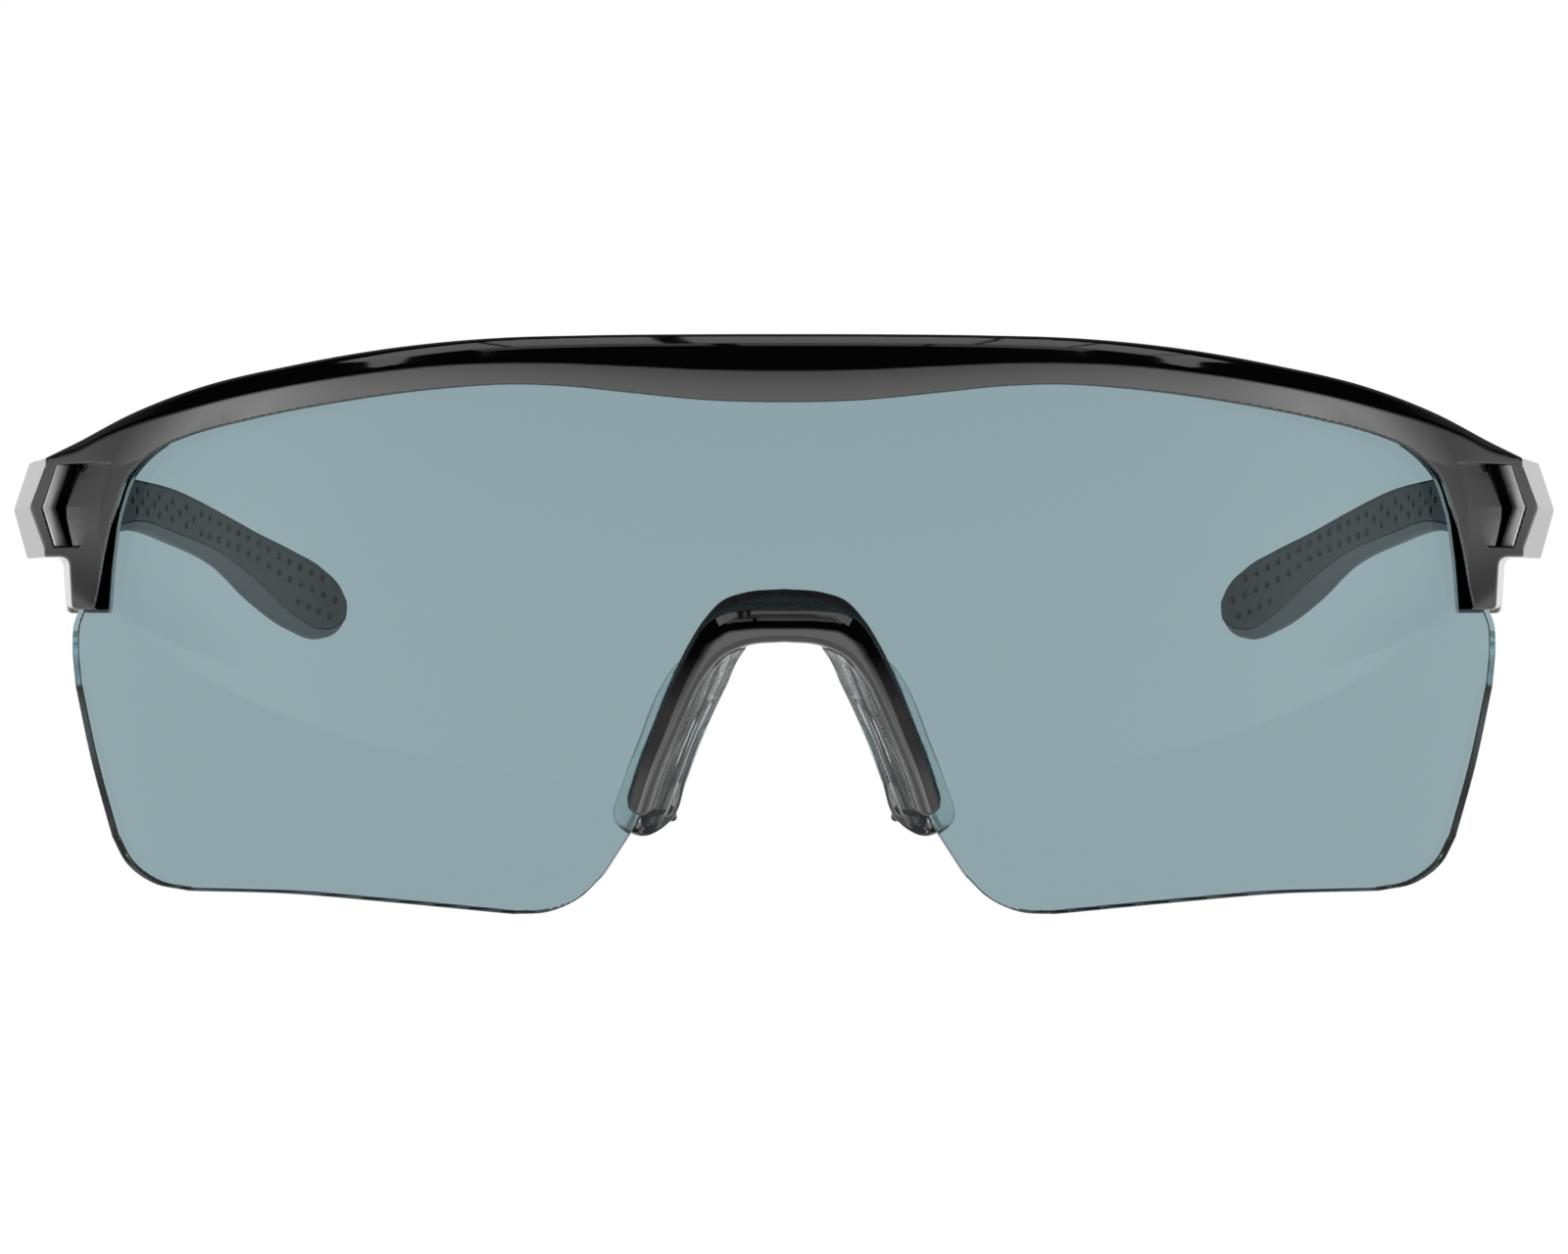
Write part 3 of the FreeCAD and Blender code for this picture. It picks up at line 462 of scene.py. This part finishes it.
def pad_field(p):
    """The left pad: a clear sleeve on the bridge's arm that opens into a fluted flap against the nose."""
    x, y, z = p[:, 0], p[:, 1], p[:, 2]
    arc, off, height = rolled(p)
    nose, cheek, back = pad_nose(z), pad_cheek(z), pad_back(z)
    deep = np.clip((y - 4.4) / (back - 4.4), 0, 1.3)
    # the flap leans from the nose side in front to the cheek side behind
    across = (x - nose - 0.2 - (cheek - nose - 2.4) * deep**1.6) * 0.86
    # lengthwise flutes on its lower part
    lower = np.clip((-7.0 - z + 0.5 * np.sin(2.2 * x)) / 1.2, 0, 1)
    flute = 0.24 * np.cos((x - nose) * 8.0) * lower * np.clip(1.6 - 0.2 * y, 0, 1)
    flap = all_of([-across, across - 2.0, 3.4 - y + flute, y - back], 1.0)
    sleeve = all_of([nose - x, x - cheek, 3.4 - y, y - 7.4], 1.3)
    ends = smooth_max(z + 1.1 + 0.25 * (x - 3.0), -19.0 - z + 0.10 * (x - 12.2)**2, 1.6)
    body = smooth_max(smooth_min(flap, sleeve, 0.6), ends, 1.3)
    nub = np.sqrt((x - 10.1)**2 + (y - 5.2)**2 + (z + 17.2)**2) - 0.42
    body = smooth_min(body, nub, 0.2)
    body = smooth_max(body, off + THICK + 0.12, 0.3)
    return smooth_max(body, 0.05 - bridge_field(p), 0.1)


# ------------------------------------------------------------ temples
TEMPLE_ROWS = (  # distance back, inner face, thickness, bottom, top, and the bare strip under the grip
    (46.07, 70.3, 4.2, 6.6, 15.85, 0.7), (56, 69.1, 4.1, 7.7, 15.75, 0.7), (68, 67.6, 3.9, 8.9, 15.5, 0.8),
    (80, 66.0, 3.7, 9.8, 15.1, 1.0), (100, 63.6, 3.5, 8.65, 14.35, 1.2), (120, 60.6, 3.5, 6.1, 12.3, 1.8),
    (134, 58.0, 3.8, 2.5, 10.4, 2.6), (148, 55.0, 3.9, -0.4, 8.5, 1.7), (158, 52.6, 3.6, -1.4, 6.7, 1.2),
    (164, 51.0, 2.8, -0.4, 4.6, 0.9), (166.5, 50.4, 1.6, 0.9, 2.9, 0.6))
inner_face, ridge_out, temple_low, temple_high, bare_strip = (
    curve([(row[0], row[k]) for row in TEMPLE_ROWS]) for k in (1, 2, 3, 4, 5))
GRIP_START, GRIP_DEEP = 58.0, 1.1
DIMPLES = (  # how far back each row's dimples are, and the row's height at a few places
    (np.concatenate((81 + 29.3 * np.linspace(0, 1, 6)**1.15, np.arange(114, 161, 3.95))),
     ((81, 13.9), (97, 13.15), (110, 12.1), (122, 10.8), (134, 9.2), (143, 7.75), (151, 6.55), (162.3, 4.9))),
    (79 + 28 * np.linspace(0, 1, 6)**1.15, ((79.3, 12.95), (93.8, 12.45), (107, 11.45))),
    (np.concatenate((81 + 29.3 * np.linspace(0, 1, 6)**1.15, np.arange(113.8, 163, 4.0))),
     ((81, 11.95), (97, 11.35), (110, 10.1), (122, 9.0), (134, 7.5), (143, 5.85), (151, 4.7), (162, 3.1))),
    (np.arange(148.8, 163.6, 3.7), ((148.8, 2.9), (156, 1.85), (163, 0.95))),
)


def temple_field(p):
    """The whole left temple, and how far points lie out from its inner face.

    It is flat inside, with a lengthwise ridge outside and a slope along its lower inner edge."""
    x, y, z = p[:, 0], p[:, 1], p[:, 2]
    out, thick = x - inner_face(y), ridge_out(y)
    low, high = temple_low(y), temple_high(y)
    ridge = low + 0.51 * (high - low)
    rise_up = 0.35 * thick / np.maximum(high - ridge, 0.5)
    undercut = 0.35 * np.clip((y - 56) / 64, 0, 1)
    rise_down = (0.35 + undercut) * thick / np.maximum(ridge - low, 0.5)
    upper = (out - thick + rise_up * (z - ridge)) / np.hypot(1, rise_up)
    lower = (out - thick - rise_down * (z - ridge)) / np.hypot(1, rise_down)
    outside = smooth_max(upper, lower, 0.12)
    slope = ((low + bare_strip(y) - z) * 0.25 - out) * 0.97
    inside = smooth_max(-out, slope, 0.25)
    return all_of([outside, z - high, low - z, inside, HINGE[1] + 0.02 - y, y - 166.45], 0.45), out


def grip_edge(p):
    """Negative above the bare strip that the soft grip leaves along the temple's lower edge."""
    return temple_low(p[:, 1]) + bare_strip(p[:, 1]) - p[:, 2]


def arm_field(p):
    body, out = temple_field(p)
    seat = np.maximum.reduce([out - GRIP_DEEP, GRIP_START - p[:, 1], grip_edge(p)]) - 0.01
    arm = smooth_max(body, -seat, 0.1)
    return smooth_max(arm, -hinge_room(p[:, 0], p[:, 1], p[:, 2], math.radians(7), 1), 0.15)


def grip_field(p):
    body, out = temple_field(p)
    y, z = p[:, 1], p[:, 2]
    grip = all_of([body, out - GRIP_DEEP, GRIP_START - y, grip_edge(p)], 0.1)
    for places, heights in DIMPLES:
        middle = (places[1:] + places[:-1]) / 2
        nearest = places[np.searchsorted(middle, y)]
        half_long = np.clip(0.4 + (y - 80) * 0.009, 0.4, 0.75)
        flat = np.hypot((y - nearest) / half_long, (z - curve(heights)(nearest)) / 0.36)
        dimple = np.hypot(np.maximum(flat - 0.2, 0), np.maximum(out, 0) / 0.6) - 0.8
        grip = smooth_max(grip, -dimple * 0.36, 0.1)
    return grip


def along_temple(q):
    """Grid points (out from the inner face, back, up) to worn points."""
    return np.column_stack((q[:, 0] + inner_face(q[:, 1]), q[:, 1], q[:, 2]))


# ------------------------------------------------------------ materials
def new_material(name, **inputs):
    material = bpy.data.materials.new(name)
    material.use_nodes = True
    shader = material.node_tree.nodes["Principled BSDF"]
    for socket, value in inputs.items():
        shader.inputs[socket.replace("_", " ")].default_value = value
    return material, material.node_tree, shader


def add_node(tree, kind, **settings):
    node = tree.nodes.new(kind)
    for key, value in settings.items():
        node.inputs[key.replace("_", " ")].default_value = value
    return node


def level_by(tree, source, stops):
    """A brightness that follows a value from 0 to 1 through a few stops."""
    node = tree.nodes.new("ShaderNodeValToRGB")
    ramp = node.color_ramp.elements
    ramp.remove(ramp[1])
    for index, (place_at, level) in enumerate(stops):
        stop = ramp.new(place_at) if index else ramp[0]
        stop.position, stop.color = place_at, (level, level, level, 1)
    tree.links.new(source, node.inputs["Fac"])
    return node.outputs["Color"]


def calculate(tree, operation, *values):
    node = tree.nodes.new("ShaderNodeMath")
    node.operation = operation
    for index, value in enumerate(values):
        if isinstance(value, bpy.types.NodeSocket):
            tree.links.new(value, node.inputs[index])
        else:
            node.inputs[index].default_value = value
    return node.outputs["Value"]


def worn_coordinates(tree):
    """The worn frame's millimetres at each point of a piece, as x, y and z."""
    turn = add_node(tree, "ShaderNodeMapping", Rotation=(TILT, 0, 0), Scale=(1000, 1000, 1000))
    turn.inputs["Location"].default_value = Vector(TURN.T @ SHIFT) * -1000
    spread = add_node(tree, "ShaderNodeSeparateXYZ")
    tree.links.new(add_node(tree, "ShaderNodeTexCoord").outputs["Object"], turn.inputs["Vector"])
    tree.links.new(turn.outputs["Vector"], spread.inputs["Vector"])
    return {"x": spread.outputs["X"], "y": spread.outputs["Y"], "z": spread.outputs["Z"]}


def noise(tree, scale, low, high, detail=3.0, stretch=(1, 1, 1)):
    """A fine-grained value between low and high over the piece."""
    coords = add_node(tree, "ShaderNodeTexCoord")
    mapping = add_node(tree, "ShaderNodeMapping", Scale=stretch)
    grain = add_node(tree, "ShaderNodeTexNoise", Scale=scale, Detail=detail)
    level = add_node(tree, "ShaderNodeMapRange", To_Min=low, To_Max=high)
    tree.links.new(coords.outputs["Object"], mapping.inputs["Vector"])
    tree.links.new(mapping.outputs["Vector"], grain.inputs["Vector"])
    tree.links.new(grain.outputs["Fac"], level.inputs["Value"])
    return level.outputs["Result"]


def bump(tree, shader, height, strength, distance):
    node = add_node(tree, "ShaderNodeBump", Strength=strength, Distance=distance)
    tree.links.new(height, node.inputs["Height"])
    tree.links.new(node.outputs["Normal"], shader.inputs["Normal"])


def tint(tree, shader, amount, dark, light):
    """Colour that wanders between two shades with a value from 0 to 1."""
    mix = tree.nodes.new("ShaderNodeMix")
    mix.data_type = "RGBA"
    mix.inputs["A"].default_value, mix.inputs["B"].default_value = (*dark, 1), (*light, 1)
    tree.links.new(amount, mix.inputs["Factor"])
    tree.links.new(mix.outputs["Result"], shader.inputs["Base Color"])


def polished_black(name, low, high):
    """Injection-moulded black plastic, from mirror polish to satin by its roughness, with faint uneven haze.

    Its index is above real plastic's, for reflections as strong as the photograph's."""
    material, tree, shader = new_material(name, IOR=1.72)
    tree.links.new(noise(tree, 700.0, low, high), shader.inputs["Roughness"])
    tint(tree, shader, noise(tree, 90.0, 0.0, 1.0), (0.0012, 0.0012, 0.0014), (0.0032, 0.0031, 0.0034))
    return material


def let_shadows_through(material, colour):
    """Light reaches what is behind the glass: shadow rays see only its tint."""
    tree = material.node_tree
    shader = tree.nodes["Principled BSDF"]
    path = add_node(tree, "ShaderNodeLightPath")
    clear = add_node(tree, "ShaderNodeBsdfTransparent", Color=colour)
    mix = tree.nodes.new("ShaderNodeMixShader")
    tree.links.new(path.outputs["Is Shadow Ray"], mix.inputs["Fac"])
    tree.links.new(shader.outputs["BSDF"], mix.inputs[1])
    tree.links.new(clear.outputs["BSDF"], mix.inputs[2])
    tree.links.new(mix.outputs["Shader"], tree.nodes["Material Output"].inputs["Surface"])


def brushed(name, colour, scale):
    material, tree, shader = new_material(name, Metallic=1.0)
    grain = noise(tree, scale, 0.0, 1.0, stretch=(1, 1, 12))
    tint(tree, shader, grain, tuple(0.75 * part for part in colour), colour)
    tree.links.new(noise(tree, scale, 0.22, 0.42, stretch=(1, 1, 12)), shader.inputs["Roughness"])
    bump(tree, shader, grain, 0.15, 0.00005)
    return material


gloss_black = polished_black("gloss_black", 0.035, 0.07)
temple_black = polished_black("temple_black", 0.3, 0.38)

TINT = (0.266, 0.368, 0.396, 1)
smoke, _, _ = new_material(
    "smoke_lens", Base_Color=TINT, Roughness=0.0, IOR=1.5, Transmission_Weight=1.0,
    Specular_Tint=(0.16, 0.16, 0.16, 1))
let_shadows_through(smoke, TINT)

# real silicone bends light more (1.41); less keeps the flaps as clear as in the photograph
CLEAR = (0.90, 0.93, 0.93, 1)
silicone, silicone_tree, silicone_shader = new_material(
    "clear_silicone", Base_Color=CLEAR, Roughness=0.03, IOR=1.2, Transmission_Weight=1.0)
along_arm = worn_coordinates(silicone_tree)
fade = add_node(silicone_tree, "ShaderNodeMapRange", From_Min=-6.5, From_Max=-4.0)
silicone_tree.links.new(along_arm["z"], fade.inputs["Value"])
frost = noise(silicone_tree, 4200.0, 0.05, 1.0)
frosted = calculate(silicone_tree, "MULTIPLY", fade.outputs["Result"], frost)
bump(silicone_tree, silicone_shader, frosted, 1.0, 0.00012)
let_shadows_through(silicone, CLEAR)
# painted streaks along the sleeve, from the bridge's arm towards the nose, in place of its inner refractions
across = calculate(silicone_tree, "ADD", calculate(silicone_tree, "ABSOLUTE", along_arm["x"]),
                   calculate(silicone_tree, "MULTIPLY", along_arm["z"], 0.403))
streak_at = add_node(silicone_tree, "ShaderNodeMapRange", From_Min=3.0, From_Max=6.0)
silicone_tree.links.new(across, streak_at.inputs["Value"])
painted_streaks = level_by(silicone_tree, streak_at.outputs["Result"], (
    (0.0, 0.45), (0.12, 0.35), (0.22, 0.6), (0.3, 0.25), (0.42, 0.3), (0.5, 0.7), (0.58, 0.3), (0.72, 0.55),
    (0.85, 0.45), (0.97, 0.0)))
# a dark diffuse shade mixed in along the painted streaks: painted shade standing for the sleeve's refractions
painted_dark = add_node(silicone_tree, "ShaderNodeBsdfDiffuse", Color=(0.05, 0.05, 0.052, 1))
painted_mix = silicone_tree.nodes.new("ShaderNodeMixShader")
surface = silicone_tree.nodes["Material Output"].inputs["Surface"]
clear_shader = surface.links[0].from_socket
silicone_tree.links.new(painted_streaks, painted_mix.inputs["Fac"])
silicone_tree.links.new(clear_shader, painted_mix.inputs[1])
silicone_tree.links.new(painted_dark.outputs["BSDF"], painted_mix.inputs[2])
silicone_tree.links.new(painted_mix.outputs["Shader"], surface)

rubber, rubber_tree, rubber_shader = new_material("grip_rubber", IOR=1.45, Specular_IOR_Level=0.4)
tint(rubber_tree, rubber_shader, noise(rubber_tree, 260.0, 0.0, 1.0),
     (0.030, 0.031, 0.033), (0.055, 0.057, 0.060))
rubber_shader.inputs["Roughness"].default_value = 0.5
bump(rubber_tree, rubber_shader, noise(rubber_tree, 6500.0, 0.0, 1.0), 0.12, 0.00004)

steel = brushed("steel", (0.62, 0.61, 0.60), 900.0)
satin, satin_tree, satin_shader = new_material("satin_grey", Roughness=0.42)
tint(satin_tree, satin_shader, noise(satin_tree, 1400.0, 0.0, 1.0), (0.70, 0.70, 0.705), (0.80, 0.80, 0.805))
nylon, nylon_tree, nylon_shader = new_material("nylon", Subsurface_Weight=0.15, Roughness=0.45)
tint(nylon_tree, nylon_shader, noise(nylon_tree, 1200.0, 0.0, 1.0), (0.60, 0.59, 0.55), (0.74, 0.73, 0.69))

# ------------------------------------------------------------ pieces
brow_shape = polygonise(
    brow_field, [steps((0, 0.3), (60, 0.13), 96), steps((-6.2, 0.16), 2.2), steps((0.9, 0.16), 27.1)], bend)
finish_piece(add_mesh("brow_shell", *brow_shape), "front", "brow_frame", gloss_black)
lens_shape = polygonise(
    lens_field, [steps((0, 0.25), 78), steps((-2.3, 0.2), 0.3), steps((-27.2, 0.25), 25.2)], bend)
finish_piece(add_mesh("lens_pane", *lens_shape), "front", "shield_lens", smoke)
bridge_shape = polygonise(
    bridge_field, [steps((0, 0.14), 16.4), steps((-6.0, 0.14), 1.9), steps((-18, 0.14), 4.4)], bend)
finish_piece(add_mesh("bridge_band", *bridge_shape), "front", "nose_bridge", gloss_black)
for side, side_name in SIDES:
    points, faces = vent_liner()
    liner = add_mesh(f"vent_liner_{side_name}", points, faces, None, side)
    liner.data.materials.append(satin)
    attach(liner, "front")
pad_shape = polygonise(
    pad_field, [steps((1.5, 0.17), 17.5), steps((2.4, 0.17), 15.5), steps((-21.5, 0.17), 0)], as_is)
on_both_sides(pad_shape, "pad_flap", "front", "nose_pad", silicone)
arm_shape = polygonise(
    arm_field, [steps((-0.8, 0.2), 5.2), steps((45.6, 0.25), 167.4), steps((-2.4, 0.2), 16.8)], along_temple)
on_both_sides(arm_shape, "arm_shell", "temple_{}", "temple_arm", temple_black)
grip_shape = polygonise(
    grip_field, [steps((-0.6, 0.18), 1.7), steps((57.4, 0.2), 167.4), steps((-2.4, 0.18), 16.2)],
    along_temple)
on_both_sides(grip_shape, "grip_lining", "temple_{}", "temple_grip", rubber)

for node in frame["nodes"]:
    metal = steel if "washers" not in node else nylon
    for obj in bpy.data.objects:
        if obj.get("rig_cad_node") == node and not obj.hide_render:
            for index in range(len(obj.material_slots)):
                obj.material_slots[index].material = metal
            if not obj.material_slots:
                obj.data.materials.append(metal)

# ------------------------------------------------------------ stage
# the studio's light by direction, from -Y in front of the glasses (0) to +Y behind them (1), over PEAK
AROUND = ((0.0, 0.53), (0.15, 0.65), (0.22, 0.72), (0.3, 1.0), (0.38, 0.85), (0.45, 0.5), (0.52, 0.3),
          (0.6, 0.42), (0.76, 0.42), (0.88, 0.20), (0.95, 0.22))
PEAK = 3.0

# a plain white floor, the same all over, which ends in front of the glasses, where the studio is white too
FLOOR_FRONT, FLOOR_BACK, FLOOR_SIDE = -0.3, 6, 5
floor_mesh = bpy.data.meshes.new("floor")
floor_corners = [(-FLOOR_SIDE, FLOOR_FRONT, 0), (FLOOR_SIDE, FLOOR_FRONT, 0),
                 (FLOOR_SIDE, FLOOR_BACK, 0), (-FLOOR_SIDE, FLOOR_BACK, 0)]
floor_mesh.from_pydata(floor_corners, [], [(0, 1, 2, 3)])
floor = bpy.data.objects.new("floor", floor_mesh)
scene.collection.objects.link(floor)
floor_material, _, _ = new_material(
    "floor", Base_Color=(0.1, 0.1, 0.1, 1), Roughness=0.9, Specular_IOR_Level=0.0,
    Emission_Color=(1, 1, 1, 1), Emission_Strength=0.985)
floor.data.materials.append(floor_material)

world = bpy.data.worlds.new("studio")
scene.world = world
world.use_nodes = True
sky = world.node_tree
sky_way = add_node(sky, "ShaderNodeSeparateXYZ")
sky.links.new(add_node(sky, "ShaderNodeTexCoord").outputs["Generated"], sky_way.inputs["Vector"])
# low light all round that dies away sooner towards the back
behind = add_node(sky, "ShaderNodeMapRange", From_Min=-0.15, From_Max=1.0, To_Min=0.0, To_Max=0.4)
sky.links.new(sky_way.outputs["Y"], behind.inputs["Value"])
height = calculate(sky, "ADD", sky_way.outputs["Z"], behind.outputs["Result"])
by_height = level_by(
    sky, height, ((0.0, 1.0), (0.12, 0.95), (0.2, 0.75), (0.3, 0.42), (0.42, 0.1), (0.5, 0.0)))
by_depth = level_by(sky, calculate(sky, "MULTIPLY_ADD", sky_way.outputs["Y"], 0.5, 0.5), AROUND)
# and a faint glow high up behind the glasses
glow = add_node(sky, "ShaderNodeMapRange", From_Min=0.4, From_Max=0.8, To_Min=0.0, To_Max=0.26)
sky.links.new(sky_way.outputs["Y"], glow.inputs["Value"])
background = sky.nodes["Background"]
sky.links.new(calculate(sky, "ADD", by_height, glow.outputs["Result"]), background.inputs["Color"])
# the light is dimmer just above the horizon at the sides
aside_sky = add_node(sky, "ShaderNodeMapRange", From_Min=0.93, From_Max=0.985)
sky.links.new(calculate(sky, "ABSOLUTE", sky_way.outputs["X"]), aside_sky.inputs["Value"])
low_sky = level_by(sky, sky_way.outputs["Z"], ((0.0, 0.0), (0.003, 0.6), (0.02, 0.6), (0.07, 0.0)))
kept = calculate(sky, "SUBTRACT", 1.0, calculate(sky, "MULTIPLY", aside_sky.outputs["Result"], low_sky))
strength = calculate(sky, "MULTIPLY", calculate(sky, "MULTIPLY", by_depth, PEAK), kept)
sky.links.new(strength, background.inputs["Strength"])


def area_light(name, place, size, energy):
    """A soft panel that faces the floor."""
    data = bpy.data.lights.new(name, "AREA")
    data.shape = "RECTANGLE"
    data.size, data.size_y = size
    data.energy = energy
    light = bpy.data.objects.new(name, data)
    light.location = place
    scene.collection.objects.link(light)


# two rows of skylight panes: how far back they are, their depth, their light, and the sides of each pane
SKYLIGHT_TALL = 1.2
SKYLIGHT = (
    (0.135, 0.33, 1.15,
     ((-0.95, -0.49), (-0.47, -0.155), (-0.115, 0.275), (0.29, 0.50), (0.515, 0.78), (0.795, 0.95))),
    (-0.1, 0.12, 0.2, ((-0.6, -0.10), (-0.065, 0.2), (0.215, 0.6))))
for row, (back, deep, energy, panes) in enumerate(SKYLIGHT):
    for index, (start, end) in enumerate(panes):
        wide = end - start
        centre = ((start + end) / 2, back, SKYLIGHT_TALL)
        area_light(f"pane_{row}_{index}", centre, (wide, deep), energy * wide)

# ------------------------------------------------------------ camera
# millimetres: from the camera to the lens apex, the view's width there, and the sensor's width
CAMERA_AWAY, VIEW_WIDE, SENSOR = 600.0, 140.8, 36.0
camera_data = bpy.data.cameras.new("camera")
camera_data.sensor_width = SENSOR
camera_data.lens = SENSOR * CAMERA_AWAY / VIEW_WIDE
camera_data.clip_start, camera_data.clip_end = 0.05, 50
camera = bpy.data.objects.new("camera", camera_data)
place = to_row([(0, -CAMERA_AWAY, 0)])[0]
right, back, up = TURN @ (1, 0, 0), TURN @ (0, -1, 0), TURN @ (0, 0, 1)
camera.matrix_world = Matrix(np.vstack((np.column_stack((right, up, back, place)), (0, 0, 0, 1))).tolist())
scene.collection.objects.link(camera)
scene.camera = camera
scene.view_settings.view_transform = "Standard"
